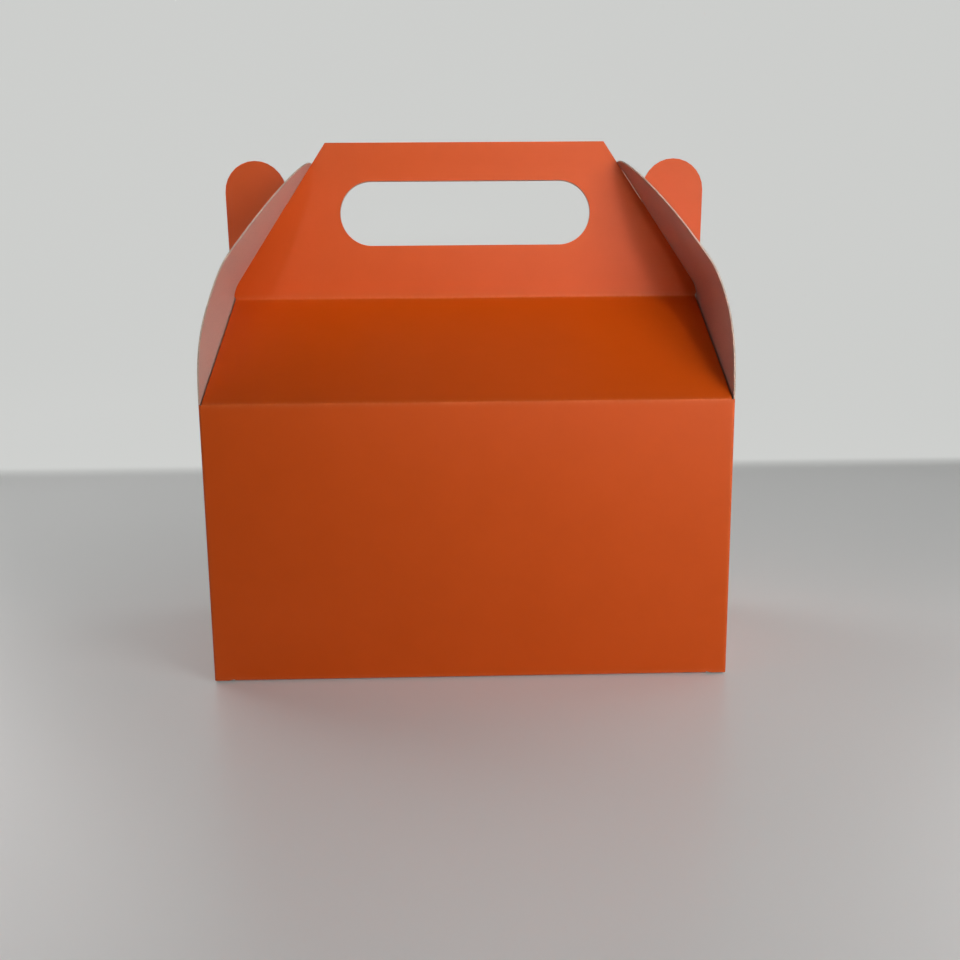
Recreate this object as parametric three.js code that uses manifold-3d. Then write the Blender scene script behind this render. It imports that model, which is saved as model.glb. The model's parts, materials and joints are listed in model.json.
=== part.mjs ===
// A gable box with a carry handle: one sheet of coated board, cut, creased, folded and glued.
// Sizes are in millimetres, +Z is up, -Y is the front, and the origin is the middle of the underside.
import * as THREE from "three";
import { mergeVertices } from "three/addons/utils/BufferGeometryUtils.js";
import Module from "manifold-3d";

const wasm = await Module();
wasm.setup();

// The box
const boxLength = 160;
const boxDepth = 90;
const wallHeight = 85.5;
const cornerRadius = 0.7;
const roofRise = 33.1;
const boardThickness = 0.45;

// The handle, whose two plies stand face to face above the roof fold
const handleHeight = 51.1;
const holeLength = 84.6;
const holeHeight = 21.1;
const holeRise = 28.15;
const earRadius = 9.8;
const earRise = 35.7;

// The wings, the rounded side flaps that fold up over the handle's ears
const wingLean = THREE.MathUtils.degToRad(34.2);
const wingBendRadius = 12;
const wingBendDrop = 0.8;
const wingInset = 0.5;
const wingShoulderRise = 18;
const wingWaistHalfWidth = 32;
const wingWaistRise = 40;
const wingWaistTaper = 0.16;
const wingWaistReach = 14;
const wingBellyReach = 22;
const wingTipHalfWidth = 22;
const wingBridge = 4;

// The bottom, where four flaps lock into each other under the box
const creaseLift = 0.8;
const flapRamp = 6;
const flapInset = 6;
const flapTaper = 8;
const flapPastMiddle = 15;
const tongueHalfWidth = 25;
const tongueLength = 12;
const tongueCorner = 5;
const sideFlapTaper = 16;
const glueFlapWidth = 14;
const glueFlapInset = 3;

// Clearances, and how far joined stretches of board run into each other
const faceGap = 0.3;
const hingeGap = 0.3;
const recessClearance = 3;
const lap = 1.5;
const arcSegments = 12;

// Heights and half widths that follow from those sizes
const halfLength = boxLength / 2;
const halfDepth = boxDepth / 2;
const eaveHeight = creaseLift + wallHeight;
const foldHeight = eaveHeight + roofRise;
const handleTop = foldHeight + handleHeight;
const plyFace = faceGap / 2 + boardThickness;
const roofHalfLength = halfLength - boardThickness - faceGap;
const layerStep = boardThickness + faceGap;

// The wing's section, seen along its crease: x runs outwards from the crease and z runs up from it
const bendRise = roofRise - wingBendDrop;
const bendCentre = -(wingBendRadius + boardThickness);
const alongWing = new THREE.Vector2(-Math.sin(wingLean), Math.cos(wingLean));
const acrossWing = new THREE.Vector2(Math.cos(wingLean), Math.sin(wingLean));

function bendEnd(radius) {
  return new THREE.Vector2(bendCentre, bendRise).addScaledVector(acrossWing, radius);
}

const outerBendEnd = bendEnd(wingBendRadius + boardThickness);
const innerBendEnd = bendEnd(wingBendRadius);

// The handle's slanted ends lie along the wings' inner faces, one gap away
const seatPoint = innerBendEnd.clone().addScaledVector(acrossWing, -faceGap);

function seatHalfWidth(height) {
  const rise = height - eaveHeight - seatPoint.y;
  return halfLength + seatPoint.x - rise * Math.tan(wingLean);
}

function seatHeight(halfWidth) {
  const run = halfLength + seatPoint.x - halfWidth;
  return eaveHeight + seatPoint.y + run / Math.tan(wingLean);
}

// The slit runs from just under the bend to just past the ear's farthest point from the crease
const earCentre = new THREE.Vector2(halfLength - earRadius, foldHeight + earRise);
const earReach = Math.hypot(earRadius, earCentre.y - eaveHeight) + earRadius;
const slitRadius = earReach + faceGap;
const slitStart = bendRise - boardThickness - faceGap;

// How far up the straight part of the wing its outer face is a given distance from the crease
function runToRadius(radius) {
  const along = outerBendEnd.dot(alongWing);
  return Math.sqrt(along * along - outerBendEnd.lengthSq() + radius * radius) - along;
}

const slitRun = runToRadius(slitRadius);
const wingRun = slitRun + wingBridge;
const bendArc = (wingBendRadius + boardThickness) * wingLean;
const wingArc = bendRise + bendArc + wingRun;

// The height above the crease of a point of the wing's outer face, from its distance along the board
function wingHeight(distance) {
  if (distance <= bendRise) return distance;
  const past = distance - bendRise;
  if (past <= bendArc) {
    const radius = wingBendRadius + boardThickness;
    return bendRise + radius * Math.sin(past / radius);
  }
  return outerBendEnd.y + (past - bendArc) * alongWing.y;
}

// Prisms: a shape drawn in one plane is carried along the axis that crosses the plane
const axes = {
  xy: new THREE.Matrix4(),
  xz: new THREE.Matrix4().makeBasis(
    new THREE.Vector3(1, 0, 0),
    new THREE.Vector3(0, 0, 1),
    new THREE.Vector3(0, -1, 0),
  ),
  yz: new THREE.Matrix4().makeBasis(
    new THREE.Vector3(0, 1, 0),
    new THREE.Vector3(0, 0, 1),
    new THREE.Vector3(1, 0, 0),
  ),
};

// A closed surface becomes a solid that can be joined and cut, and a solid becomes a surface again
function solidFrom(geometry) {
  const merged = mergeVertices(geometry, 1e-4);
  return new wasm.Manifold(
    new wasm.Mesh({
      numProp: 3,
      vertProperties: merged.attributes.position.array,
      triVerts: new Uint32Array(merged.index.array),
    }),
  );
}

function geometryFrom(solid) {
  const { vertProperties, triVerts } = solid.getMesh();
  const geometry = new THREE.BufferGeometry();
  geometry.setAttribute("position", new THREE.BufferAttribute(vertProperties, 3));
  geometry.setIndex(new THREE.BufferAttribute(triVerts, 1));
  return geometry;
}

function halfTurn(solid) {
  return solidFrom(geometryFrom(solid).scale(-1, -1, 1));
}

function prism(plane, shape, from, to) {
  const options = { depth: to - from, bevelEnabled: false, curveSegments: arcSegments };
  const geometry = new THREE.ExtrudeGeometry(shape, options);
  geometry.translate(0, 0, from);
  geometry.applyMatrix4(axes[plane]);
  geometry.deleteAttribute("normal");
  geometry.deleteAttribute("uv");
  return solidFrom(geometry);
}

function centredPrism(plane, shape, width) {
  return prism(plane, shape, -width / 2, width / 2);
}

function rectangle(left, bottom, right, top) {
  const corners = [
    [left, bottom],
    [right, bottom],
    [right, top],
    [left, top],
  ];
  return outline(corners);
}

function outline(points) {
  return new THREE.Shape(points.map(([a, b]) => new THREE.Vector2(a, b)));
}

// A path's copy moved to its left by the board's thickness, with its corners mitred
function innerFace(path) {
  const sides = path.slice(1).map((end, i) => {
    const along = end.clone().sub(path[i]).normalize();
    return new THREE.Vector2(-along.y, along.x);
  });
  return path.map((point, i) => {
    const before = sides[Math.max(i - 1, 0)];
    const after = sides[Math.min(i, sides.length - 1)];
    const mitre = before.clone().add(after).normalize();
    return point.clone().addScaledVector(mitre, boardThickness / mitre.dot(after));
  });
}

// The section of a folded strip of board, from the path of its outer face, which has the board on its left
function foldedSection(points) {
  const path = points.map(([a, b]) => new THREE.Vector2(a, b));
  return new THREE.Shape([...path, ...innerFace(path).reverse()]);
}

// Four walls, as one sleeve with rounded corners
function roundedRectangle(halfX, halfY, radius) {
  const shape = new THREE.Shape();
  shape.absarc(halfX - radius, halfY - radius, radius, 0, Math.PI / 2);
  shape.absarc(radius - halfX, halfY - radius, radius, Math.PI / 2, Math.PI);
  shape.absarc(radius - halfX, radius - halfY, radius, Math.PI, Math.PI * 1.5);
  shape.absarc(halfX - radius, radius - halfY, radius, Math.PI * 1.5, Math.PI * 2);
  return shape;
}

function walls() {
  const outside = roundedRectangle(halfLength, halfDepth, cornerRadius);
  const innerRadius = Math.max(cornerRadius - boardThickness, boardThickness / 4);
  const inside = roundedRectangle(
    halfLength - boardThickness,
    halfDepth - boardThickness,
    innerRadius,
  );
  outside.holes.push(inside);
  return prism("xy", outside, creaseLift, eaveHeight - hingeGap / 2);
}

// The glue flap is folded from the back wall and glued inside the left one
function glueFlap() {
  const inner = boardThickness * 2 - halfLength;
  const end = halfDepth - boardThickness - glueFlapWidth;
  const plan = rectangle(boardThickness / 2 - halfLength, end, inner, halfDepth - boardThickness / 2);
  return prism("xy", plan, creaseLift + glueFlapInset, eaveHeight - glueFlapInset);
}

// One roof panel, folded at the eave and at the foot of the handle
function roofPanel() {
  const section = foldedSection([
    [-plyFace, foldHeight + lap],
    [-plyFace, foldHeight],
    [-halfDepth, eaveHeight],
    [-halfDepth, eaveHeight - lap],
  ]);
  return centredPrism("yz", section, roofHalfLength * 2);
}

// One ply of the handle: slanted ends, a notch beside each, and a rounded ear outside each notch
function handlePly() {
  const notchHalfWidth = halfLength - earRadius * 2;
  const notchHeight = seatHeight(notchHalfWidth);
  const topHalfWidth = seatHalfWidth(handleTop);
  const ply = new THREE.Shape();
  ply.moveTo(-roofHalfLength, foldHeight);
  ply.lineTo(roofHalfLength, foldHeight);
  ply.absarc(earCentre.x, earCentre.y, earRadius, 0, Math.PI);
  ply.lineTo(notchHalfWidth, notchHeight);
  ply.lineTo(topHalfWidth, handleTop);
  ply.lineTo(-topHalfWidth, handleTop);
  ply.lineTo(-notchHalfWidth, notchHeight);
  ply.absarc(-earCentre.x, earCentre.y, earRadius, 0, Math.PI);
  ply.lineTo(-roofHalfLength, foldHeight);
  ply.holes.push(handHole());
  return prism("xz", ply, faceGap / 2, plyFace);
}

function handHole() {
  const radius = holeHeight / 2;
  const endCentre = holeLength / 2 - radius;
  const height = foldHeight + holeRise;
  const hole = new THREE.Path();
  hole.absarc(endCentre, height, radius, -Math.PI / 2, Math.PI / 2);
  hole.absarc(-endCentre, height, radius, Math.PI / 2, Math.PI * 1.5);
  hole.closePath();
  return hole;
}

// Bottom flaps: each leaves its wall at the crease and runs in at a level of its own
const tongueStart = flapPastMiddle + flapRamp;

function flapStrip(plane, wall, level, end, width) {
  const section = foldedSection([
    [-wall, creaseLift + lap],
    [-wall, creaseLift],
    [flapRamp - wall, level],
    [end, level],
  ]);
  return centredPrism(plane, section, width);
}

function frontFlap() {
  const tongueLevel = layerStep * 3;
  const tongueEnd = tongueStart + tongueLength;
  const wide = halfLength - flapInset;
  const narrow = wide - flapTaper;
  const section = foldedSection([
    [-halfDepth, creaseLift + lap],
    [-halfDepth, creaseLift],
    [flapRamp - halfDepth, 0],
    [flapPastMiddle, 0],
    [tongueStart, tongueLevel],
    [tongueEnd, tongueLevel],
  ]);
  const plan = outline([
    [-wide, -halfDepth],
    [wide, -halfDepth],
    [narrow, flapPastMiddle],
    [tongueHalfWidth, flapPastMiddle],
  ]);
  plan.absarc(tongueHalfWidth - tongueCorner, tongueEnd - tongueCorner, tongueCorner, 0, Math.PI / 2);
  plan.absarc(tongueCorner - tongueHalfWidth, tongueEnd - tongueCorner, tongueCorner, Math.PI / 2, Math.PI);
  plan.lineTo(-tongueHalfWidth, flapPastMiddle);
  plan.lineTo(-narrow, flapPastMiddle);
  const cut = prism("xy", plan, -lap, eaveHeight);
  return centredPrism("yz", section, wide * 2).intersect(cut);
}

// The back flap is drawn as if it left the front wall, and turned half round
function backFlap() {
  const wide = halfLength - flapInset;
  const narrow = wide - flapTaper;
  const recess = tongueHalfWidth + recessClearance;
  const recessEnd = -tongueStart - recessClearance / 2;
  const plan = outline([
    [-wide, -halfDepth],
    [wide, -halfDepth],
    [narrow, flapPastMiddle],
    [recess, flapPastMiddle],
    [recess, recessEnd],
    [-recess, recessEnd],
    [-recess, flapPastMiddle],
    [-narrow, flapPastMiddle],
  ]);
  const cut = prism("xy", plan, -lap, eaveHeight);
  const strip = flapStrip("yz", halfDepth, layerStep * 2, flapPastMiddle, wide * 2);
  return halfTurn(strip.intersect(cut));
}

function leftFlap() {
  const wide = halfDepth - flapRamp - recessClearance / 2;
  const narrow = wide - sideFlapTaper;
  const end = -tongueHalfWidth - recessClearance * 2;
  const plan = outline([
    [-halfLength, -wide],
    [end, -narrow],
    [end, narrow],
    [-halfLength, wide],
  ]);
  const cut = prism("xy", plan, -lap, eaveHeight);
  return flapStrip("xz", halfLength, layerStep, end, wide * 2).intersect(cut);
}

function carton() {
  const pieces = [walls(), glueFlap(), frontFlap(), backFlap()];
  for (const piece of [roofPanel(), handlePly(), leftFlap()]) {
    pieces.push(piece, halfTurn(piece));
  }
  return pieces.reduce((whole, piece) => whole.add(piece));
}

// A wing stands on its crease, bends in at the roof fold and leans along the handle's slanted end
function wingSection() {
  const outerRadius = wingBendRadius + boardThickness;
  const spare = wingRun + lap;
  const outerTip = outerBendEnd.clone().addScaledVector(alongWing, spare);
  const innerTip = innerBendEnd.clone().addScaledVector(alongWing, spare);
  const section = new THREE.Shape();
  section.moveTo(0, hingeGap / 2);
  section.lineTo(0, bendRise);
  section.absarc(bendCentre, bendRise, outerRadius, 0, wingLean);
  section.lineTo(outerTip.x, outerTip.y);
  section.lineTo(innerTip.x, innerTip.y);
  section.absarc(bendCentre, bendRise, wingBendRadius, wingLean, 0, true);
  section.lineTo(-boardThickness, hingeGap / 2);
  return section;
}

// The wing's flat outline: a shoulder curving in to the waist, then a round belly up to the tip
function wingOutline() {
  const flat = new THREE.Shape();
  const crease = halfDepth - wingInset;
  const shoulder = wingWaistHalfWidth + wingWaistTaper * wingWaistReach;
  const belly = wingWaistHalfWidth - wingWaistTaper * wingBellyReach;
  const shoulderEnd = wingWaistRise - wingWaistReach;
  const bellyEnd = wingWaistRise + wingBellyReach;
  flat.moveTo(-crease, 0);
  flat.lineTo(crease, 0);
  flat.bezierCurveTo(crease, wingShoulderRise, shoulder, shoulderEnd, wingWaistHalfWidth, wingWaistRise);
  flat.bezierCurveTo(belly, bellyEnd, wingTipHalfWidth, wingArc, 0, wingArc);
  flat.bezierCurveTo(-wingTipHalfWidth, wingArc, -belly, bellyEnd, -wingWaistHalfWidth, wingWaistRise);
  flat.bezierCurveTo(-shoulder, shoulderEnd, -crease, wingShoulderRise, -crease, 0);
  const raised = flat.getPoints(arcSegments).map((point) => [point.x, wingHeight(point.y)]);
  return outline(raised.slice(0, -1));
}

function wing() {
  const reach = -halfLength;
  const slitHalfWidth = plyFace + faceGap;
  const slitTop = outerBendEnd.y + slitRun * alongWing.y;
  const slit = rectangle(-slitHalfWidth, slitStart, slitHalfWidth, slitTop);
  return centredPrism("xz", wingSection(), boxDepth)
    .intersect(prism("yz", wingOutline(), reach, lap))
    .subtract(prism("yz", slit, reach, lap));
}

// Meshes
function meshFrom(name, solid, material) {
  const geometry = geometryFrom(solid);
  geometry.computeVertexNormals();
  const mesh = new THREE.Mesh(geometry, material);
  mesh.name = name;
  return mesh;
}

function coatedBoard(color) {
  return new THREE.MeshStandardMaterial({ color, roughness: 0.5, metalness: 0 });
}

function hingedWing(name, side) {
  const hinge = new THREE.Group();
  hinge.position.set(side * halfLength, 0, eaveHeight);
  hinge.rotation.z = side > 0 ? 0 : Math.PI;
  hinge.add(meshFrom(name, wing(), coatedBoard(0xd0582c)));
  return hinge;
}

const box = new THREE.Group();
box.add(meshFrom("carton", carton(), coatedBoard(0xd6561e)));
box.add(hingedWing("left_wing", -1));
box.add(hingedWing("right_wing", 1));

export default box;
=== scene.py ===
"""Gable box with a carry handle, folded from one sheet of board that is coated orange outside.

Lengths are in metres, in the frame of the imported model: +Z up, -Y out of the front wall.
"""
import json
import math

import bpy
import numpy as np
from mathutils import Matrix, Vector


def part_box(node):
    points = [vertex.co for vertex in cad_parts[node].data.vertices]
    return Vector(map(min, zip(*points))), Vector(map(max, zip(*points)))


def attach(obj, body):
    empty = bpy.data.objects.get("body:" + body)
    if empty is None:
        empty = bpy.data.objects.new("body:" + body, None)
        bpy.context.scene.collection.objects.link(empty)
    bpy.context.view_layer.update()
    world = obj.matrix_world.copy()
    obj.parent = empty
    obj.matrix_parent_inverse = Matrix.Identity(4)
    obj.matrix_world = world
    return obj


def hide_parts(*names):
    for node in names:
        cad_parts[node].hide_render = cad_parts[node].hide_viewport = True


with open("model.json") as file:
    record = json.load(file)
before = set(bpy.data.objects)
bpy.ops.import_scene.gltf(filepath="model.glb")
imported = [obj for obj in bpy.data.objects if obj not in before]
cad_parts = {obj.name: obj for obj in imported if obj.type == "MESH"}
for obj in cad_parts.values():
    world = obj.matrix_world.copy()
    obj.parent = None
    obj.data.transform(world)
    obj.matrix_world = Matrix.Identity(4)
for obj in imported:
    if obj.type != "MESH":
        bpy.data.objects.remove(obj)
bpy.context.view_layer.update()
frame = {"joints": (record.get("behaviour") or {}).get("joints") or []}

# Sizes read from the frame
MM = 0.001
HALF_LENGTH, HALF_DEPTH, HANDLE_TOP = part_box("carton")[1]
_, WING_CREASE_HALF, WING_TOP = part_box("right_wing")[1]
EAVE = frame["joints"][0]["pos_m"][2]

# Sizes of the board, the folds and the handle
BOARD = 0.45 * MM
PLY_GAP = 0.3 * MM
PLY_FACE = PLY_GAP / 2 + BOARD
ROOF_FOLD = EAVE + 33.1 * MM
ROOF_HALF = HALF_LENGTH - BOARD - 0.55 * MM
WALL_FOOT = 0.55 * MM
CORNER_RADIUS = 0.7 * MM
CREASE_RADIUS = 0.8 * MM
FOOT_RADIUS = 0.46 * MM
HOLE_RADIUS = 10.55 * MM
HOLE_CENTRE_HALF = 31.75 * MM
HOLE_HEIGHT = ROOF_FOLD + 28.15 * MM
EAR_RADIUS = 10.2 * MM
EAR_HEIGHT = ROOF_FOLD + 35.3 * MM
EAR_CENTRE = 70.3 * MM
EAR_EDGE = EAR_CENTRE + EAR_RADIUS
EAR_FLARE = 0.25
NOTCH_HALF = EAR_CENTRE - EAR_RADIUS

# Sizes of the wings
WING_LEAN = math.radians(34.2)
WING_BEND_START = ROOF_FOLD - EAVE - 0.8 * MM
WING_BEND_RADIUS = 12 * MM + BOARD
WING_SHOULDER_RISE = 26.9 * MM
WING_WAIST_HALF = 30 * MM
WING_WAIST_RISE = 40 * MM
WING_WAIST_TAPER = 0.16
WING_WAIST_REACH = 14 * MM
WING_BELLY_REACH = 15 * MM
WING_TIP_HALF = 14 * MM
WING_TIP_TRIM = 0.75 * MM
WING_CREASE_GAP = 0.02 * MM
WING_BRIDGE = 4 * MM
SLIT_HALF = PLY_FACE + 0.12 * MM
SLIT_RIM = 0.1 * MM
SLIT_START = ROOF_FOLD - EAVE + 1.5 * MM
SEAT_GAP = 0.08 * MM

# How each wing's free edges bend: how much earlier than its middle, over how much more board,
# and with how much more lean
LEFT_EDGE_BEND = (24 * MM, 43 * MM, 0)
RIGHT_EDGE_BEND = (9.5 * MM, 16.7 * MM, math.radians(-5.8))

# Sizes of the bottom flaps
FLAP_HALF = 74 * MM
FLAP_TAPER = 8 * MM
FLAP_RAMP = 6 * MM
FLAP_PAST_MIDDLE = 15 * MM
FLAP_LAYER = BOARD + 0.3 * MM
SIDE_FLAP_HALF = 37.5 * MM
SIDE_FLAP_TAPER = 16 * MM
SIDE_FLAP_END = 31 * MM
TONGUE_HALF = 25 * MM
TONGUE_LENGTH = 12 * MM
RECESS_GAP = 3 * MM
GLUE_FLAP_WIDTH = 14 * MM
GLUE_FLAP_INSET = 3 * MM

# How much the panels belly out between their creases, and the handle's plies part between theirs
WALL_BELLY = 0.45 * MM
ROOF_BELLY = -0.25 * MM
PLY_SPLAY = 0.12 * MM

# Colours, as linear light
COATING_DARK = (0.625, 0.078, 0.0015)
COATING_LIGHT = (0.65, 0.082, 0.0025)
# The paler orange of the painted highlight along the creases
COATING_CREASE_HIGHLIGHT = (0.75, 0.20, 0.06)
# The inside board is white; both its fleck tones are tinted salmon, which is painted orange bounce light
BARE_DARK_WITH_PAINTED_BOUNCE = (0.56, 0.36, 0.30)
BARE_LIGHT_WITH_PAINTED_BOUNCE = (0.70, 0.46, 0.39)
EDGE_DARK = (0.48, 0.33, 0.25)
EDGE_LIGHT = (0.68, 0.53, 0.42)
STAGE_COLOUR = (0.80, 0.80, 0.79)

# Finish of each face: roughness, specular level, and the bump's strength and height
COATING_ROUGHNESS = (0.40, 0.52)
COATING_SPECULAR = 0.22
COATING_BUMP = (0.16, 0.05 * MM)
BARE_ROUGHNESS = 0.85
BARE_SPECULAR = 0.3
BARE_BUMP = (0.35, 0.06 * MM)
EDGE_ROUGHNESS = 0.8
EDGE_SPECULAR = 0.3
EDGE_BUMP = (0.5, 0.05 * MM)
STAGE_ROUGHNESS = 0.32

# Noises of the board: scale per metre, detail and roughness
STREAK_NOISE = (2600, 3, 0.6)
FLECK_NOISE = (3800, 2, 0.7)
MOTTLE_NOISE = (70, 4, 0.6)
# The next noise breaks up the painted highlight along the creases
CREASE_HIGHLIGHT_NOISE = (900, 5, 0.7)
STREAK_STRETCH = (0.18, 0.6, 1.0)
STREAK_SHARE = 0.6
FLECK_SHARE = 0.4
# The stretch of a noise's values that takes a colour or a finish from one end to the other
NOISE_RANGE = (0.3, 0.7)
BARE_NOISE_RANGE = (0.25, 0.75)
CREASE_HIGHLIGHT_NOISE_RANGE = (0.35, 0.7)
# The painted highlight along the creases: the least share that its noise leaves, its strength, and the crease
# mask's width
CREASE_HIGHLIGHT_LEAST = 0.35
CREASE_HIGHLIGHT_STRENGTH = 0.35
CREASE_HIGHLIGHT_WIDTH = 0.9 * MM

# The camera stands where the photograph's corners put it: its yaw, pitch and roll are in degrees
CAMERA_PLACE = (-1.2 * MM, -293.45 * MM, 100.5 * MM)
CAMERA_ANGLES = (1.026, 8.647, -0.591)
FOCAL_PIXELS = 833
PICTURE_PIXELS = 960
SENSOR_WIDTH = 36
CLIP_START = 0.01

# Each soft light: its place, what it faces, its width, the spread of its beam in degrees, and its power
LIGHTS = {
    "near_right": ((0.25, -0.28, 0.15), (0.0, 0.0, 0.09), 0.2, 105, 0.25),
    "front": ((0.15, -0.90, 0.45), (0.0, 0.0, 0.08), 0.6, 180, 1.32),
    "handle_front": ((0.10, -0.80, 0.24), (-0.002, 0.0, 0.17), 0.12, 13, 0.0130),
    "handle_right": ((0.35, -0.75, 0.35), (0.052, 0.0, 0.155), 0.12, 16, 0.0140),
    "ear_left": ((-0.30, -0.75, 0.35), (-0.084, 0.0, 0.158), 0.12, 6, 0.0045),
    "back_left": ((-0.55, 0.50, 0.50), (0.0, 0.0, 0.08), 0.5, 110, 0.85),
    "back_right": ((0.60, 0.30, 0.45), (0.0, 0.0, 0.08), 0.5, 110, 0.35),
}

# The room and the stage: the glows are seen only by the camera and in reflections
ROOM_COLOUR = (0.9, 0.92, 0.95)
ROOM_STRENGTH = 0.05
ROOM_GLOW = 0.70
FLOOR_GLOW = 0.12
WALL_GLOW = 0.9
GLOW_COLOUR = (0.66, 0.67, 0.655)
# How far up, as the height of a direction of length 1, the room's glow starts and ends its fade
GLOW_FADE = (0.35, 0.85)
SWEEP_START = 0.40
SWEEP_RADIUS = 0.25
GLOW_RISE = SWEEP_RADIUS / 60
STAGE_REACH = 3.0

# How finely the surfaces are divided: points along each stretch
ARC_STEPS = 6
CORNER_POINTS = 5
EAR_POINTS = 15
HANDLE_POINTS = 71
SIDE_POINTS = 61
WALL_ROWS = 45
ROOF_ROWS = 33
RING_ROWS = 15
EAR_ROWS = 23
EAR_TIP_ROWS = 13
SLANT_POINTS = 19
HANDLE_TOP_POINTS = 57
FRONT_FLAP_ROWS = 25
BACK_FLAP_ROWS = 33
SIDE_FLAP_ROWS = 21
RAMP_ROWS = 7
TONGUE_ROWS = 9
STUB_ROWS = 2
GLUE_FLAP_ROWS = 25
GLUE_FLAP_POINTS = 9
WING_FOOT_ROWS = 31
WING_SLIT_ROWS = 49
WING_TIP_ROWS = 17
WING_HALF_POINTS = 27
SHOULDER_POINTS = 200
BELLY_POINTS = 400
SWEEP_POINTS = 25

# Points nearer to each other than this become one, and edges that turn further than this stay sharp
WELD = 0.002 * MM
SHARP_ANGLE = math.radians(40)
# Added to a length that is divided by, so that it is never 0
TINY = 1e-30


def lerp(start, end, share):
    """The point that lies the given share of the way from start to end."""
    return start + (end - start) * share


def eased(count):
    """Shares from 0 to 1 in steps that shrink towards both ends: half of one less the cosine."""
    return (1 - np.cos(np.linspace(0, math.pi, count))) / 2


def bulge(share_a, share_b):
    """A belly that is 1 in the middle of a panel and 0 on its edges: the product of two flattened arches."""
    arch_a = 1 - (2 * share_a - 1) ** 2
    arch_b = 1 - (2 * share_b - 1) ** 2
    return np.sqrt(np.clip(arch_a * arch_b, 0, 1)) * arch_a * arch_b


def folded_path(points, steps, radius):
    """Points along straight runs joined by arcs of the radius, and each point's share of its own run."""
    points = np.array(points, dtype=float)
    along = np.diff(points, axis=0)
    along /= np.linalg.norm(along, axis=1)[:, None]
    starts = points[:-1].copy()
    ends = points[1:].copy()
    arcs = []
    for k in range(1, len(points) - 1):
        before, after = along[k - 1], along[k]
        turn = math.atan2(before[0] * after[1] - before[1] * after[0], before @ after)
        side = np.array([-before[1], before[0]]) * math.copysign(1, turn)
        reach = radius * math.tan(abs(turn) / 2)
        ends[k - 1] = points[k] - before * reach
        starts[k] = points[k] + after * reach
        angle = np.linspace(0, abs(turn), ARC_STEPS + 1)[1:-1, None]
        arcs.append(ends[k - 1] + radius * (np.sin(angle) * before + (1 - np.cos(angle)) * side))
    rows = []
    shares = []
    for k, count in enumerate(steps):
        share = eased(count)[:, None]
        rows.append(lerp(starts[k], ends[k], share))
        shares.append(share[:, 0])
        if k < len(arcs):
            rows.append(arcs[k])
            shares.append(np.zeros(len(arcs[k])))
    return np.concatenate(rows), np.concatenate(shares)


class Sheet:
    """Board being built up from grids of points, whose shared edges are welded at the end."""

    def __init__(self):
        self.points = []
        self.faces = []
        self.count = 0

    def add(self, grid, closed=False, keep=None):
        """Adds a grid of points: rows run along the first axis and each face's front is column cross row."""
        rows, columns = grid.shape[:2]
        index = np.arange(rows * columns).reshape(rows, columns) + self.count
        if closed:
            index = np.concatenate([index, index[:, :1]], axis=1)
        quads = np.stack([index[:-1, :-1], index[:-1, 1:], index[1:, 1:], index[1:, :-1]], axis=-1)
        if keep is not None:
            quads = quads[keep]
        self.points.append(grid.reshape(-1, 3))
        self.faces.append(quads.reshape(-1, 4))
        self.count += rows * columns

    def add_twice(self, grid):
        """Adds a grid and its copy turned half round the box's upright axis."""
        self.add(grid)
        self.add(grid * np.array([-1, -1, 1]))

    def welded(self):
        """The vertices that lie at one place become one."""
        points = np.concatenate(self.points)
        faces = np.concatenate(self.faces)
        keys = np.round(points / WELD).astype(np.int64)
        _, first, inverse = np.unique(keys, axis=0, return_index=True, return_inverse=True)
        faces = inverse.reshape(-1)[faces]
        used, compact = np.unique(faces, return_inverse=True)
        return points[first][used], compact.reshape(-1, 4)


def vertex_normals(points, faces):
    """Each vertex's normal is the sum of its faces' normals, scaled to length 1."""
    corners = points[faces]
    face_normals = np.cross(corners[:, 2] - corners[:, 0], corners[:, 3] - corners[:, 1])
    face_normals /= np.linalg.norm(face_normals, axis=1)[:, None] + TINY
    normals = np.zeros_like(points)
    for k in range(4):
        np.add.at(normals, faces[:, k], face_normals)
    return normals / (np.linalg.norm(normals, axis=1)[:, None] + TINY)


def thickened(points, faces):
    """The outer face, the inner face one board's thickness behind it, and a rim of quads along open edges."""
    count = len(points)
    inner = points - BOARD * vertex_normals(points, faces)
    edges = np.concatenate([faces[:, [k, (k + 1) % 4]] for k in range(4)])
    forward = edges[:, 0] * count + edges[:, 1]
    backward = edges[:, 1] * count + edges[:, 0]
    a, b = edges[~np.isin(forward, backward)].T
    rim = np.stack([b, a, a + count, b + count], axis=1)
    all_faces = np.concatenate([faces, faces[:, ::-1] + count, rim])
    slots = np.repeat([0, 1, 2], [len(faces), len(faces), len(rim)])
    return np.concatenate([points, inner]), all_faces, slots


def crease_mask(points, creases, width):
    """1 on the creases, falling to 0 like a bell with the gap to the nearest crease line.

    The value is e to the power of minus the square of the gap over the width.
    """
    nearest = np.full(len(points), np.inf)
    for start, end in creases:
        start = np.array(start)
        along = np.array(end) - start
        share = np.clip((points - start) @ along / (along @ along), 0, 1)
        gap = np.linalg.norm(points - start - share[:, None] * along, axis=1)
        nearest = np.minimum(nearest, gap)
    return np.exp(-((nearest / width) ** 2))


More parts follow.
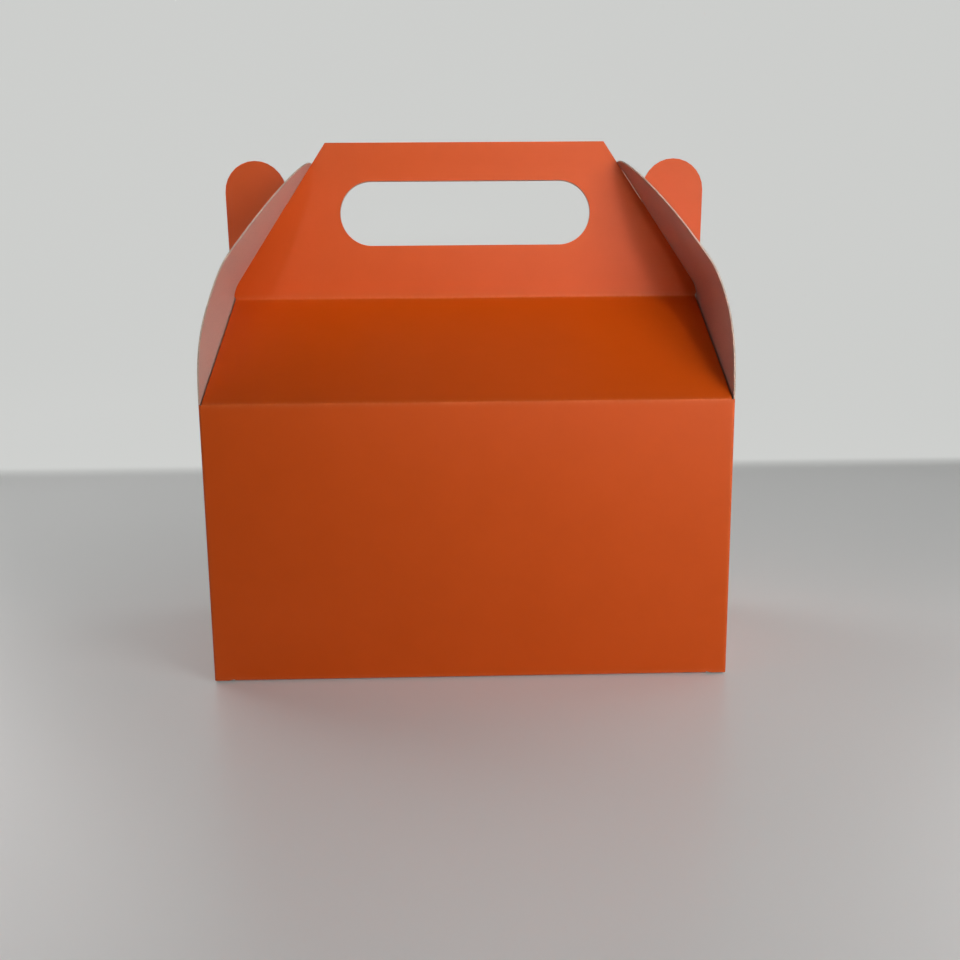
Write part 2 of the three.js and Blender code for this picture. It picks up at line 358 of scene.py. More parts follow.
def board_piece(name, sheet, creases, materials):
    """A mesh object of the thickened sheet: its outer face, inner face and rim have their own materials."""
    points, faces, slots = thickened(*sheet.welded())
    mesh = bpy.data.meshes.new(name)
    mesh.vertices.add(len(points))
    mesh.vertices.foreach_set("co", points.astype(np.float32).ravel())
    mesh.loops.add(faces.size)
    mesh.loops.foreach_set("vertex_index", faces.astype(np.int32).ravel())
    mesh.polygons.add(len(faces))
    mesh.polygons.foreach_set("loop_start", np.arange(0, faces.size, 4, dtype=np.int32))
    mesh.polygons.foreach_set("material_index", slots.astype(np.int32))
    mesh.update(calc_edges=True)
    mesh.shade_smooth()
    mesh.set_sharp_from_angle(angle=SHARP_ANGLE)
    # The crease mask places the painted highlight along the creases
    mask = mesh.attributes.new("crease", "FLOAT", "POINT")
    mask.data.foreach_set("value", crease_mask(points, creases, CREASE_HIGHLIGHT_WIDTH).astype(np.float32))
    for material in materials:
        mesh.materials.append(material)
    piece = bpy.data.objects.new(name, mesh)
    bpy.context.scene.collection.objects.link(piece)
    return piece


# The carton's columns, shared by the walls, the roof, the handle and the flaps
EAR_SHARES = eased(EAR_POINTS)
EAR_FOOT_X = lerp(NOTCH_HALF, ROOF_HALF, EAR_SHARES)
HANDLE_X = np.linspace(-NOTCH_HALF, NOTCH_HALF, HANDLE_POINTS)
FRONT_X = np.concatenate([-EAR_FOOT_X[::-1], HANDLE_X[1:-1], EAR_FOOT_X])
SIDE_Y = np.linspace(CORNER_RADIUS - HALF_DEPTH, HALF_DEPTH - CORNER_RADIUS, SIDE_POINTS)

# The wing's section: its bend's end seen from the crease, and lengths along the board up to the slit's
# end and the tip
BEND_END_RISE = WING_BEND_START + WING_BEND_RADIUS * math.sin(WING_LEAN)
BEND_ARC = WING_BEND_RADIUS * WING_LEAN
WING_ARC = WING_BEND_START + BEND_ARC + (WING_TOP - EAVE - BEND_END_RISE) / math.cos(WING_LEAN)
SLIT_END = WING_ARC - WING_BRIDGE
TIP_ARC = WING_ARC - WING_TIP_TRIM

# The handle's slanted end lies along the wing's inner face
SEAT_RADIUS = WING_BEND_RADIUS - BOARD - SEAT_GAP
SEAT_RISE = WING_BEND_START + SEAT_RADIUS * math.sin(WING_LEAN)
SEAT_HALF = HALF_LENGTH - WING_BEND_RADIUS + SEAT_RADIUS * math.cos(WING_LEAN)
HANDLE_TOP_HALF = SEAT_HALF - (HANDLE_TOP - EAVE - SEAT_RISE) * math.tan(WING_LEAN)
NOTCH_HEIGHT = EAVE + SEAT_RISE + (SEAT_HALF - NOTCH_HALF) / math.tan(WING_LEAN)

# Tangent lengths of the creases: the arc leaves each panel this far from the drawn corner
ROOF_TURN = math.atan2(HALF_DEPTH - PLY_FACE, ROOF_FOLD - EAVE)
ROOF_REACH = CREASE_RADIUS * math.tan(ROOF_TURN / 2)
PLY_FOOT = ROOF_FOLD + ROOF_REACH


def flap_reach(level):
    """The tangent length of a bottom crease whose flap runs in to the given level."""
    return FOOT_RADIUS * math.tan(math.atan2(FLAP_RAMP, WALL_FOOT - level) / 2)


def wall_outline():
    """The four walls seen from above, anticlockwise, with a quarter circle at each corner.

    The second array says which points are on the two long walls.
    """
    corner = np.linspace(0, math.pi / 2, CORNER_POINTS)[1:-1]
    arc = CORNER_RADIUS * np.stack([np.sin(corner), 1 - np.cos(corner)], axis=1)
    front = np.stack([FRONT_X, np.full(len(FRONT_X), -HALF_DEPTH)], axis=1)
    bend = np.array([HALF_LENGTH - CORNER_RADIUS, -HALF_DEPTH]) + arc
    side = np.stack([np.full(len(SIDE_Y), HALF_LENGTH), SIDE_Y], axis=1)
    bend_back = np.array([HALF_LENGTH, HALF_DEPTH - CORNER_RADIUS]) + arc[:, ::-1] * [-1, 1]
    half = np.concatenate([front, bend, side, bend_back])
    on_long_wall = np.arange(len(half)) < len(front)
    return np.concatenate([half, -half]), np.tile(on_long_wall, 2)


def add_walls(sheet):
    """The outline carried up from the foot to the eave, each panel pushed out by a smooth arch both ways."""
    outline, long_wall = wall_outline()
    x, y = outline.T
    over_flap = np.where(long_wall, np.abs(x) <= FLAP_HALF, np.abs(y) <= SIDE_FLAP_HALF)
    level = np.where(long_wall, np.where(y < 0, 0, 2 * FLAP_LAYER), FLAP_LAYER)
    crease_foot = WALL_FOOT + np.vectorize(flap_reach)(level)
    foot = np.where(over_flap, crease_foot, WALL_FOOT)
    top = np.where(long_wall, EAVE - ROOF_REACH, EAVE - WING_CREASE_GAP)
    share = eased(WALL_ROWS)[:, None]
    grid = np.zeros((WALL_ROWS, len(outline), 3))
    grid[..., :2] = outline
    grid[..., 2] = lerp(foot, top, share)
    across = np.where(long_wall, x / HALF_LENGTH, y / HALF_DEPTH) / 2 + 0.5
    belly = WALL_BELLY * bulge(across, share)
    grid[..., 0] += np.where(long_wall, 0, np.sign(x) * belly)
    grid[..., 1] += np.where(long_wall, np.sign(y) * belly, 0)
    sheet.add(grid, closed=True)


def add_roofs(sheet):
    """Each roof panel: the folded path from eave to handle carried along X, sunk a little in its middle."""
    path, share = folded_path(
        [
            (-HALF_DEPTH, WALL_FOOT),
            (-HALF_DEPTH, EAVE),
            (-PLY_FACE, ROOF_FOLD),
            (-PLY_FACE, HANDLE_TOP),
        ],
        [STUB_ROWS, ROOF_ROWS, STUB_ROWS],
        CREASE_RADIUS,
    )
    # The stubs' far ends drop out, and their near ends, where the arcs start, have no belly
    path, share = path[1:-1], share[1:-1, None]
    share[[0, -1]] = 0
    grid = np.zeros((len(path), len(FRONT_X), 3))
    grid[..., 0] = FRONT_X
    belly = ROOF_BELLY * bulge(FRONT_X / ROOF_HALF / 2 + 0.5, share)
    grid[..., 1] = path[:, :1] - belly * math.cos(ROOF_TURN)
    grid[..., 2] = path[:, 1:] + belly * math.sin(ROOF_TURN)
    sheet.add_twice(grid)


def standing_ply(x, z):
    """A grid of the handle's front ply: points at x, z, pushed forward by the splay times the bulge."""
    lean = bulge(np.clip(x / NOTCH_HALF / 2 + 0.5, 0, 1), (z - PLY_FOOT) / (HANDLE_TOP - PLY_FOOT))
    return np.stack([x, -PLY_FACE - PLY_SPLAY * lean, z], axis=-1)


def add_handles(sheet):
    """Each ply: a ring between the outline and the hand hole, with an ear beside it at each end.

    A point of the ring lies on the straight line from the outline towards the nearest point of the hole's
    centre line, and the hole's edge is one radius from that line. An ear's outer edge runs from the roof's
    end out to the ear's width, by its height's share to the power of the flare, and its top is a half circle.
    """
    side_rise = np.linspace(PLY_FOOT, NOTCH_HEIGHT, EAR_ROWS)
    corners = np.array([[NOTCH_HALF, NOTCH_HEIGHT], [HANDLE_TOP_HALF, HANDLE_TOP]])
    slant_share = np.linspace(0, 1, SLANT_POINTS)[:-1, None]
    top_x = np.linspace(HANDLE_TOP_HALF, -HANDLE_TOP_HALF, HANDLE_TOP_POINTS)[:-1]
    outer = np.concatenate(
        [
            np.stack([HANDLE_X[:-1], np.full(len(HANDLE_X) - 1, PLY_FOOT)], axis=1),
            np.stack([np.full(len(side_rise) - 1, NOTCH_HALF), side_rise[:-1]], axis=1),
            lerp(corners[0], corners[1], slant_share),
            np.stack([top_x, np.full(len(top_x), HANDLE_TOP)], axis=1),
            lerp(corners[1], corners[0], slant_share) * [-1, 1],
            np.stack([np.full(len(side_rise) - 1, -NOTCH_HALF), side_rise[:0:-1]], axis=1),
        ]
    )
    centre = np.stack(
        [np.clip(outer[:, 0], -HOLE_CENTRE_HALF, HOLE_CENTRE_HALF), np.full(len(outer), HOLE_HEIGHT)], axis=1
    )
    towards = outer - centre
    inner = centre + HOLE_RADIUS * towards / np.linalg.norm(towards, axis=1)[:, None]
    ring = lerp(outer, inner, eased(RING_ROWS)[:, None, None])
    ply = standing_ply(ring[..., 0], ring[..., 1])
    for turn in (1, -1):
        sheet.add(ply * np.array([turn, turn, 1]), closed=True)

    outer_share = (side_rise - PLY_FOOT) / (EAR_HEIGHT - PLY_FOOT)
    ear_edge = lerp(ROOF_HALF, EAR_EDGE, outer_share**EAR_FLARE)[:, None]
    low_x = lerp(NOTCH_HALF, ear_edge, EAR_SHARES)
    low = np.stack([low_x, np.broadcast_to(side_rise[:, None], low_x.shape)], axis=-1)
    tip_x = lerp(NOTCH_HALF, EAR_EDGE, EAR_SHARES)
    tip_z = EAR_HEIGHT + np.sqrt(np.clip(EAR_RADIUS**2 - (tip_x - EAR_CENTRE) ** 2, 0, None))
    high = lerp(low[-1], np.stack([tip_x, tip_z], axis=1), eased(EAR_TIP_ROWS)[1:, None, None])
    ear = np.concatenate([low, high])
    right = standing_ply(ear[..., 0], ear[..., 1])
    left = standing_ply(-ear[:, ::-1, 0], ear[:, ::-1, 1])
    sheet.add_twice(right)
    sheet.add_twice(left)


def flap_path(points, rows, wall_half):
    """Points inwards and up from a bottom flap's end to its wall: level, then a ramp, then the crease."""
    level = points[-1][1]
    ramp = [(FLAP_RAMP - wall_half, level), (-wall_half, WALL_FOOT), (-wall_half, EAVE)]
    path, _ = folded_path(points + ramp, [*rows, RAMP_ROWS, STUB_ROWS], FOOT_RADIUS)
    return path[:-1]


def flap_grid(path, columns, wall_half, end_half):
    """A bottom flap: its path carried along its wall, narrowing evenly from the crease to its end."""
    share = np.clip((path[:, 0] + wall_half) / (wall_half + path[0, 0]), 0, 1)
    scale = lerp(1, end_half / np.abs(columns).max(), share)[:, None]
    along = columns * scale
    inwards = np.broadcast_to(path[:, :1], along.shape)
    return along, inwards, np.broadcast_to(path[:, 1:], along.shape)


def add_front_flap(sheet):
    """The outer flap, whose tongue steps up past the back flap's edge and lies on it inside the box."""
    tongue_start = FLAP_PAST_MIDDLE + FLAP_RAMP
    path = flap_path(
        [
            (tongue_start + TONGUE_LENGTH, 3 * FLAP_LAYER),
            (tongue_start, 3 * FLAP_LAYER),
            (FLAP_PAST_MIDDLE, 0),
        ],
        [TONGUE_ROWS, RAMP_ROWS, FRONT_FLAP_ROWS],
        HALF_DEPTH,
    )
    columns = FRONT_X[np.abs(FRONT_X) <= FLAP_HALF]
    x, y, z = flap_grid(path, columns, HALF_DEPTH, FLAP_HALF - FLAP_TAPER)
    in_tongue = np.abs(x) <= TONGUE_HALF
    keep = (y <= FLAP_PAST_MIDDLE + FOOT_RADIUS) | in_tongue
    sheet.add(np.stack([x, y, z], axis=-1), keep=keep[1:, 1:] & keep[:-1, :-1])


def add_back_flap(sheet):
    """The inner flap, drawn from the front wall and turned half round, with a recess for the tongue."""
    path = flap_path([(FLAP_PAST_MIDDLE, 2 * FLAP_LAYER)], [BACK_FLAP_ROWS], HALF_DEPTH)
    columns = FRONT_X[np.abs(FRONT_X) <= FLAP_HALF]
    x, y, z = flap_grid(path, columns, HALF_DEPTH, FLAP_HALF - FLAP_TAPER)
    recess_end = -(FLAP_PAST_MIDDLE + FLAP_RAMP + RECESS_GAP / 2)
    keep = (y <= recess_end) | (np.abs(x) >= TONGUE_HALF + RECESS_GAP)
    grid = np.stack([-x, -y, z], axis=-1)
    sheet.add(grid, keep=keep[1:, 1:] & keep[:-1, :-1])


def add_side_flaps(sheet):
    """The two middle flaps, which lie between the inner and the outer one."""
    path = flap_path([(-SIDE_FLAP_END, FLAP_LAYER)], [SIDE_FLAP_ROWS], HALF_LENGTH)
    columns = -SIDE_Y[np.abs(SIDE_Y) <= SIDE_FLAP_HALF]
    y, x, z = flap_grid(path, columns, HALF_LENGTH, SIDE_FLAP_HALF - SIDE_FLAP_TAPER)
    sheet.add_twice(np.stack([x, y, z], axis=-1))


def add_glue_flap(sheet):
    """The strip glued inside the left wall, beside the back corner: a flat grid in the wall's inner plane."""
    fold = HALF_DEPTH - BOARD
    across = np.linspace(0, 1, GLUE_FLAP_POINTS)
    up = np.linspace(0, 1, GLUE_FLAP_ROWS)[:, None]
    grid = np.zeros((GLUE_FLAP_ROWS, GLUE_FLAP_POINTS, 3))
    grid[..., 0] = BOARD - HALF_LENGTH
    grid[..., 1] = lerp(fold, fold - GLUE_FLAP_WIDTH, across)
    grid[..., 2] = lerp(WALL_FOOT + GLUE_FLAP_INSET, EAVE - GLUE_FLAP_INSET, up)
    sheet.add(grid)


def carton_creases():
    """The straight lines that the carton's board is folded along."""
    creases = []
    for side in (-1, 1):
        y = side * HALF_DEPTH
        creases.append(((-HALF_LENGTH, y, EAVE), (HALF_LENGTH, y, EAVE)))
        creases.append(((-HALF_LENGTH, y, WALL_FOOT), (HALF_LENGTH, y, WALL_FOOT)))
        creases.append(((-ROOF_HALF, side * PLY_FACE, ROOF_FOLD), (ROOF_HALF, side * PLY_FACE, ROOF_FOLD)))
        x = side * HALF_LENGTH
        creases.append(((x, -HALF_DEPTH, EAVE), (x, HALF_DEPTH, EAVE)))
        creases.append(((x, -HALF_DEPTH, WALL_FOOT), (x, HALF_DEPTH, WALL_FOOT)))
        for end in (-1, 1):
            corner = (x, end * HALF_DEPTH)
            creases.append(((*corner, WALL_FOOT), (*corner, EAVE)))
    return creases


def make_carton(materials):
    """All of the board except the wings, as one sheet."""
    sheet = Sheet()
    add_walls(sheet)
    add_roofs(sheet)
    add_handles(sheet)
    add_front_flap(sheet)
    add_back_flap(sheet)
    add_side_flaps(sheet)
    add_glue_flap(sheet)
    piece = board_piece("carton_board", sheet, carton_creases(), materials)
    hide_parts("carton")
    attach(piece, "carton")


def bezier(points, share):
    """A cubic curve through the first and last point, pulled towards the two between them."""
    t = share[:, None]
    a, b, c, d = np.array(points)
    return (1 - t) ** 3 * a + 3 * (1 - t) ** 2 * t * b + 3 * (1 - t) * t**2 * c + t**3 * d


def wing_half_width(distance):
    """Half the flat wing's width at a distance up the board: one curve to the waist, and one to the tip."""
    shoulder = bezier(
        [
            (WING_CREASE_HALF, 0),
            (WING_CREASE_HALF, WING_SHOULDER_RISE),
            (WING_WAIST_HALF + WING_WAIST_TAPER * WING_WAIST_REACH, WING_WAIST_RISE - WING_WAIST_REACH),
            (WING_WAIST_HALF, WING_WAIST_RISE),
        ],
        np.linspace(0, 1, SHOULDER_POINTS),
    )
    belly = bezier(
        [
            (WING_WAIST_HALF, WING_WAIST_RISE),
            (WING_WAIST_HALF - WING_WAIST_TAPER * WING_BELLY_REACH, WING_WAIST_RISE + WING_BELLY_REACH),
            (WING_TIP_HALF, TIP_ARC),
            (0, TIP_ARC),
        ],
        np.linspace(0, 1, BELLY_POINTS)[1:],
    )
    outline = np.concatenate([shoulder, belly])
    return np.interp(distance, outline[:, 1], outline[:, 0])


def wing_grid(edge_bend):
    """The right wing: points of the flat board, each carried up a straight foot, an arc and a slope.

    The arc turns evenly to the full lean. Towards the free edges it starts lower, is longer and ends at
    another lean, by the square of the distance from the slit, because only the wing's middle is held.
    """
    earlier, longer, extra_lean = edge_bend
    tip_share = np.linspace(0, 1, WING_TIP_ROWS)
    distance = np.concatenate(
        [
            np.linspace(0, SLIT_START, WING_FOOT_ROWS)[:-1],
            np.linspace(SLIT_START, SLIT_END, WING_SLIT_ROWS)[:-1],
            lerp(SLIT_END, TIP_ARC, 1 - (1 - tip_share) ** 2),
        ]
    )[:, None]
    half = np.maximum(wing_half_width(distance), SLIT_HALF + SLIT_RIM)
    right = lerp(SLIT_HALF, half, np.linspace(0, 1, WING_HALF_POINTS))
    y = np.concatenate([-right[:, ::-1], right], axis=1)
    outwards = (y / WING_CREASE_HALF) ** 2
    start = WING_BEND_START - earlier * outwards
    length = BEND_ARC + longer * outwards
    lean = WING_LEAN + extra_lean * outwards
    turned = lean * np.clip((distance - start) / length, 0, 1)
    beyond = np.maximum(distance - start - length, 0)
    inward = length / lean * (1 - np.cos(turned)) + beyond * np.sin(lean)
    rise = np.minimum(distance, start) + length / lean * np.sin(turned) + beyond * np.cos(lean)
    grid = np.stack([HALF_LENGTH - inward, y, EAVE + WING_CREASE_GAP + rise], axis=-1)
    in_slit = (distance[:-1, 0] >= SLIT_START - WELD) & (distance[1:, 0] <= SLIT_END + WELD)
    keep = np.ones((len(distance) - 1, y.shape[1] - 1), dtype=bool)
    keep[in_slit, right.shape[1] - 1] = False
    return grid, keep


def make_wing(side, turn, edge_bend, materials):
    """The right wing, or, with a turn of -1, the same grid turned half round for the left one."""
    sheet = Sheet()
    grid, keep = wing_grid(edge_bend)
    sheet.add(grid * np.array([turn, turn, 1]), keep=keep)
    x = turn * HALF_LENGTH
    crease = [((x, -HALF_DEPTH, EAVE), (x, HALF_DEPTH, EAVE))]
    piece = board_piece(f"{side}_wing_board", sheet, crease, materials)
    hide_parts(f"{side}_wing")
    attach(piece, f"{side}_wing")


# Shared shader effects
def node_group(name, inputs, outputs):
    """An empty node group with the given sockets, and its input and output nodes."""
    group = bpy.data.node_groups.new(name, "ShaderNodeTree")
    for socket, kind in inputs:
        group.interface.new_socket(socket, in_out="INPUT", socket_type=kind)
    for socket, kind in outputs:
        group.interface.new_socket(socket, in_out="OUTPUT", socket_type=kind)
    return group, group.nodes.new("NodeGroupInput"), group.nodes.new("NodeGroupOutput")


def noise(tree, vector, values):
    """A noise's value at the vector, with the given scale, detail and roughness."""
    node = tree.nodes.new("ShaderNodeTexNoise")
    for name, number in zip(("Scale", "Detail", "Roughness"), values):
        node.inputs[name].default_value = number
    tree.links.new(vector, node.inputs["Vector"])
    return node.outputs["Fac"]


def math_node(tree, operation, a, b, clamp=False):
    """The result of one operation on two values, each a socket or a number."""
    node = tree.nodes.new("ShaderNodeMath")
    node.operation = operation
    node.use_clamp = clamp
    for socket, value in zip(node.inputs, (a, b)):
        if isinstance(value, (int, float)):
            socket.default_value = value
        else:
            tree.links.new(value, socket)
    return node.outputs[0]


def remap(tree, value, low, high, to_low, to_high):
    """The value moved evenly from one range to another, and held at its ends."""
    node = tree.nodes.new("ShaderNodeMapRange")
    for name, number in zip(("From Min", "From Max", "To Min", "To Max"), (low, high, to_low, to_high)):
        node.inputs[name].default_value = number
    tree.links.new(value, node.inputs["Value"])
    return node.outputs["Result"]


def fibre_group():
    """Paper fibre: long streaks, short flecks and a cloudy mottle, as values around 0.5.

    The height is a share of the streaks plus a share of the flecks.
    """
    group, inputs, outputs = node_group(
        "Paper fibre",
        [("Vector", "NodeSocketVector")],
        [("Mottle", "NodeSocketFloat"), ("Fleck", "NodeSocketFloat"), ("Height", "NodeSocketFloat")],
    )
    vector = inputs.outputs["Vector"]
    stretch = group.nodes.new("ShaderNodeVectorMath")
    stretch.operation = "MULTIPLY"
    stretch.inputs[1].default_value = STREAK_STRETCH
    group.links.new(vector, stretch.inputs[0])
    streak = noise(group, stretch.outputs[0], STREAK_NOISE)
    fleck = noise(group, vector, FLECK_NOISE)
    mottle = noise(group, vector, MOTTLE_NOISE)
    streak_part = math_node(group, "MULTIPLY", streak, STREAK_SHARE)
    fleck_part = math_node(group, "MULTIPLY", fleck, FLECK_SHARE)
    height = math_node(group, "ADD", streak_part, fleck_part)
    group.links.new(mottle, outputs.inputs["Mottle"])
    group.links.new(fleck, outputs.inputs["Fleck"])
    group.links.new(height, outputs.inputs["Height"])
    return group


def crease_highlight_group():
    """The painted highlight along the creases: the crease mask broken up by a fine noise, from 0 to 1."""
    group, inputs, outputs = node_group(
        "Crease rub",
        [("Vector", "NodeSocketVector"), ("Crease", "NodeSocketFloat")],
        [("Rub", "NodeSocketFloat")],
    )
    grain = noise(group, inputs.outputs["Vector"], CREASE_HIGHLIGHT_NOISE)
    broken = remap(group, grain, *CREASE_HIGHLIGHT_NOISE_RANGE, CREASE_HIGHLIGHT_LEAST, 1)
    crease_highlight = math_node(group, "MULTIPLY", inputs.outputs["Crease"], broken, clamp=True)
    group.links.new(crease_highlight, outputs.inputs["Rub"])
    return group


def blended(tree, factor, first, second):
    """A colour mixed from two, each a colour value or another colour's socket."""
    node = tree.nodes.new("ShaderNodeMix")
    node.data_type = "RGBA"
    tree.links.new(factor, node.inputs["Factor"])
    for socket, colour in ((node.inputs["A"], first), (node.inputs["B"], second)):
        if isinstance(colour, tuple):
            socket.default_value = (*colour, 1)
        else:
            tree.links.new(colour, socket)
    return node.outputs["Result"]


class BoardMaterial:
    """A Principled material on Object coordinates, with the paper fibre group at hand."""

    def __init__(self, name, fibre):
        self.material = bpy.data.materials.new(name)
        self.material.use_nodes = True
        self.tree = self.material.node_tree
        self.shader = self.tree.nodes["Principled BSDF"]
        self.vector = self.tree.nodes.new("ShaderNodeTexCoord").outputs["Object"]
        self.fibre = self.place(fibre)
        self.tree.links.new(self.vector, self.fibre.inputs["Vector"])

    def place(self, group):
        """A new node of the shared group."""
        node = self.tree.nodes.new("ShaderNodeGroup")
        node.node_tree = group
        return node

    def shade(self, colour, roughness, specular):
        """Links the colour and sets the specular level; the roughness is a number or a socket."""
        self.tree.links.new(colour, self.shader.inputs["Base Color"])
        self.shader.inputs["Specular IOR Level"].default_value = specular
        if isinstance(roughness, float):
            self.shader.inputs["Roughness"].default_value = roughness
        else:
            self.tree.links.new(roughness, self.shader.inputs["Roughness"])

    def bump(self, height, strength, distance):
        """Lets the height value tilt the surface's normal."""
        node = self.tree.nodes.new("ShaderNodeBump")
        node.inputs["Strength"].default_value = strength
        node.inputs["Distance"].default_value = distance
        self.tree.links.new(height, node.inputs["Height"])
        self.tree.links.new(node.outputs["Normal"], self.shader.inputs["Normal"])


def coated_board(fibre, crease_highlight):
    """Orange coating: satin, faintly mottled, with the board's fibre just showing and a painted highlight
    along the creases.
    """
    board = BoardMaterial("orange_coating", fibre)
    tree = board.tree
    crease = tree.nodes.new("ShaderNodeAttribute")
    crease.attribute_name = "crease"
    highlight_node = board.place(crease_highlight)
    tree.links.new(board.vector, highlight_node.inputs["Vector"])
    tree.links.new(crease.outputs["Fac"], highlight_node.inputs["Crease"])
    mottle = remap(tree, board.fibre.outputs["Mottle"], *NOISE_RANGE, 0, 1)
    cloudy = blended(tree, mottle, COATING_DARK, COATING_LIGHT)
    # Mixing toward the paler orange along the creases paints a highlight there
    highlight_share = math_node(tree, "MULTIPLY", highlight_node.outputs["Rub"], CREASE_HIGHLIGHT_STRENGTH)
    colour = blended(tree, highlight_share, cloudy, COATING_CREASE_HIGHLIGHT)
    roughness = remap(tree, board.fibre.outputs["Fleck"], *NOISE_RANGE, *COATING_ROUGHNESS)
    board.shade(colour, roughness, COATING_SPECULAR)
    board.bump(board.fibre.outputs["Height"], *COATING_BUMP)
    return board.material


def bare_board(fibre):
    """The uncoated inside: matt white board with visible fibre, tinted salmon by painted orange bounce light.
    """
    board = BoardMaterial("bare_board", fibre)
    fleck = remap(board.tree, board.fibre.outputs["Fleck"], *BARE_NOISE_RANGE, 0, 1)
    # The white board's fleck tones, both tinted with painted orange bounce light
    colour = blended(board.tree, fleck, BARE_DARK_WITH_PAINTED_BOUNCE, BARE_LIGHT_WITH_PAINTED_BOUNCE)
    board.shade(colour, BARE_ROUGHNESS, BARE_SPECULAR)
    board.bump(board.fibre.outputs["Height"], *BARE_BUMP)
    return board.material


def cut_edge(fibre):
    """The die-cut edge: cream, with the board's layers as fine streaks."""
    board = BoardMaterial("cut_edge", fibre)
    streak = remap(board.tree, board.fibre.outputs["Height"], *NOISE_RANGE, 0, 1)
    colour = blended(board.tree, streak, EDGE_DARK, EDGE_LIGHT)
    board.shade(colour, EDGE_ROUGHNESS, EDGE_SPECULAR)
    board.bump(board.fibre.outputs["Height"], *EDGE_BUMP)
    return board.material


# Stage, light and camera
def seen_directly(tree):
    """1 for rays from the camera, reflections and glass, and 0 for the light that falls on things."""
    rays = tree.nodes.new("ShaderNodeLightPath")
    seen = math_node(tree, "MAXIMUM", rays.outputs["Is Camera Ray"], rays.outputs["Is Glossy Ray"])
    return math_node(tree, "MAXIMUM", seen, rays.outputs["Is Transmission Ray"])


def stage_material():
    """Pale and satin, with a glow that only camera and reflections see: faint on the floor, full above it."""
    material = bpy.data.materials.new("pale_stage")
    material.use_nodes = True
    tree = material.node_tree
    shader = tree.nodes["Principled BSDF"]
    shader.inputs["Base Color"].default_value = (*STAGE_COLOUR, 1)
    shader.inputs["Roughness"].default_value = STAGE_ROUGHNESS
    glow = tree.nodes.new("ShaderNodeEmission")
    glow.inputs["Color"].default_value = (*GLOW_COLOUR, 1)
    place = tree.nodes.new("ShaderNodeSeparateXYZ")
    tree.links.new(tree.nodes.new("ShaderNodeTexCoord").outputs["Object"], place.inputs[0])
    share = remap(tree, place.outputs["Z"], 0, GLOW_RISE, FLOOR_GLOW, WALL_GLOW)
    mix = tree.nodes.new("ShaderNodeMixShader")
    tree.links.new(math_node(tree, "MULTIPLY", seen_directly(tree), share), mix.inputs["Fac"])
    tree.links.new(shader.outputs[0], mix.inputs[1])
    tree.links.new(glow.outputs[0], mix.inputs[2])
    tree.links.new(mix.outputs[0], tree.nodes["Material Output"].inputs["Surface"])
    return material


def make_stage():
    """A pale floor that curves up into a backdrop: a quarter circle between two straight stretches."""
    turn = np.linspace(0, math.pi / 2, SWEEP_POINTS)
    curve = [SWEEP_START, 0] + SWEEP_RADIUS * np.stack([np.sin(turn), 1 - np.cos(turn)], axis=1)
    wall_top = [SWEEP_START + SWEEP_RADIUS, STAGE_REACH]
    profile = np.concatenate([[[-STAGE_REACH, 0]], curve, [wall_top]])
    points = np.zeros((len(profile), 2, 3))
    points[..., 0] = [-STAGE_REACH, STAGE_REACH]
    points[..., 1:] = profile[:, None]
    index = np.arange(len(profile) * 2).reshape(-1, 2)
    faces = np.stack([index[:-1, 0], index[:-1, 1], index[1:, 1], index[1:, 0]], axis=1)
    mesh = bpy.data.meshes.new("stage")
    mesh.from_pydata(points.reshape(-1, 3).tolist(), [], faces.tolist())
    mesh.shade_smooth()
    mesh.materials.append(stage_material())
    stage = bpy.data.objects.new("stage", mesh)
    bpy.context.scene.collection.objects.link(stage)


def make_lights():
    """Square soft lights that face the box."""
    for name, (place, target, size, spread, power) in LIGHTS.items():
        lamp = bpy.data.lights.new(name, "AREA")
        lamp.size = size
        lamp.spread = math.radians(spread)
        lamp.energy = power
        light = bpy.data.objects.new(name, lamp)
        bpy.context.scene.collection.objects.link(light)
        light.location = place
        light.rotation_euler = (Vector(target) - Vector(place)).to_track_quat("-Z", "Y").to_euler()


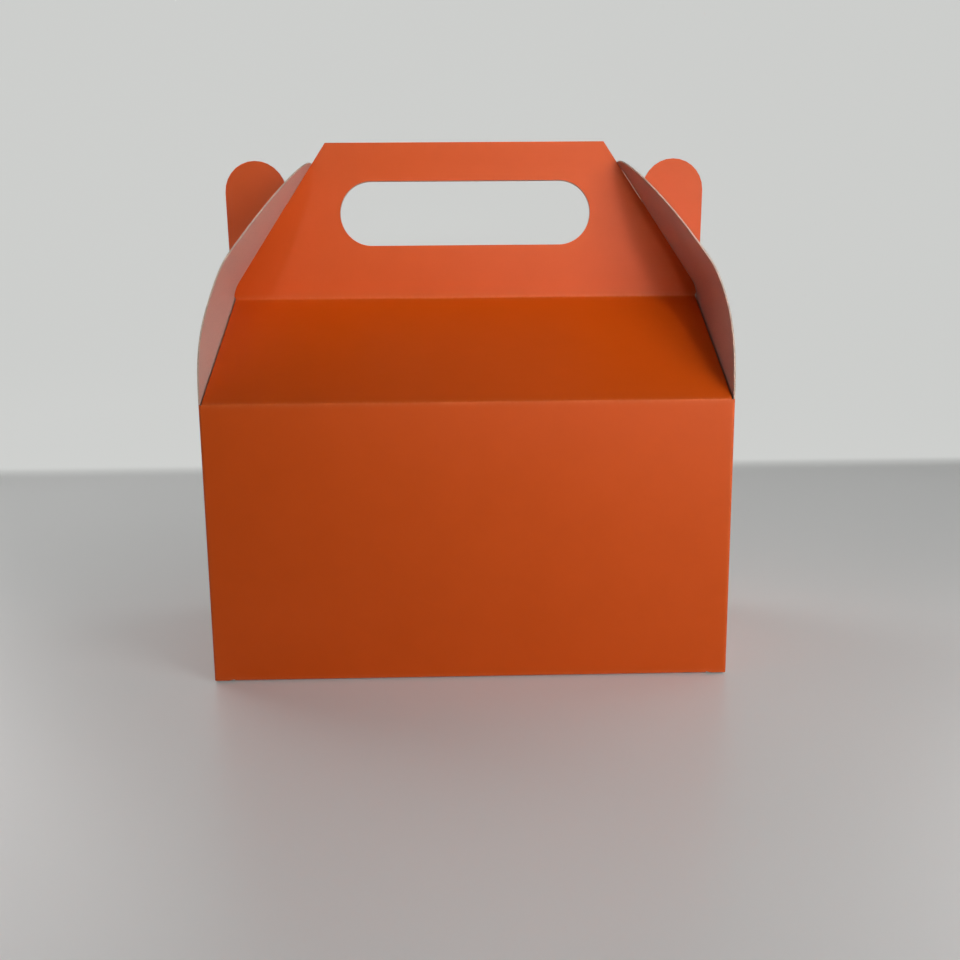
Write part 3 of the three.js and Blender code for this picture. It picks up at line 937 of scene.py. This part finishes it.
def make_room():
    """A dim pale room all round, whose glow near the horizon only the camera and reflections see."""
    world = bpy.data.worlds.new("pale_room")
    world.use_nodes = True
    tree = world.node_tree
    background = tree.nodes["Background"]
    background.inputs["Color"].default_value = (*ROOM_COLOUR, 1)
    direction = tree.nodes.new("ShaderNodeSeparateXYZ")
    tree.links.new(tree.nodes.new("ShaderNodeTexCoord").outputs["Generated"], direction.inputs[0])
    glow = remap(tree, direction.outputs["Z"], *GLOW_FADE, ROOM_GLOW, ROOM_STRENGTH)
    seen_glow = math_node(tree, "MULTIPLY", seen_directly(tree), glow)
    strength = math_node(tree, "MAXIMUM", seen_glow, ROOM_STRENGTH)
    tree.links.new(strength, background.inputs["Strength"])
    bpy.context.scene.world = world


def make_camera():
    """The camera looks along its yaw and down by its pitch, and is rolled a little about its view."""
    yaw, pitch, roll = (math.radians(angle) for angle in CAMERA_ANGLES)
    ahead = np.array([math.sin(yaw) * math.cos(pitch), math.cos(yaw) * math.cos(pitch), -math.sin(pitch)])
    right = np.array([math.cos(yaw), -math.sin(yaw), 0.0])
    up = np.cross(right, ahead)
    rolled_right = math.cos(roll) * right + math.sin(roll) * up
    rolled_up = math.cos(roll) * up - math.sin(roll) * right
    data = bpy.data.cameras.new("camera")
    data.sensor_width = SENSOR_WIDTH
    data.lens = SENSOR_WIDTH * FOCAL_PIXELS / PICTURE_PIXELS
    data.clip_start = CLIP_START
    camera = bpy.data.objects.new("camera", data)
    bpy.context.scene.collection.objects.link(camera)
    turn = Matrix(np.stack([rolled_right, rolled_up, -ahead], axis=1).tolist()).to_4x4()
    camera.matrix_world = Matrix.Translation(CAMERA_PLACE) @ turn
    bpy.context.scene.camera = camera


def main():
    """The whole scene: three pieces of board, the stage, the lights, the room and the camera."""
    bpy.context.scene.view_settings.view_transform = "Standard"
    fibre = fibre_group()
    crease_highlight = crease_highlight_group()
    materials = [coated_board(fibre, crease_highlight), bare_board(fibre), cut_edge(fibre)]
    make_carton(materials)
    make_wing("right", 1, RIGHT_EDGE_BEND, materials)
    make_wing("left", -1, LEFT_EDGE_BEND, materials)
    make_stage()
    make_lights()
    make_room()
    make_camera()


main()
bpy.context.view_layer.update()
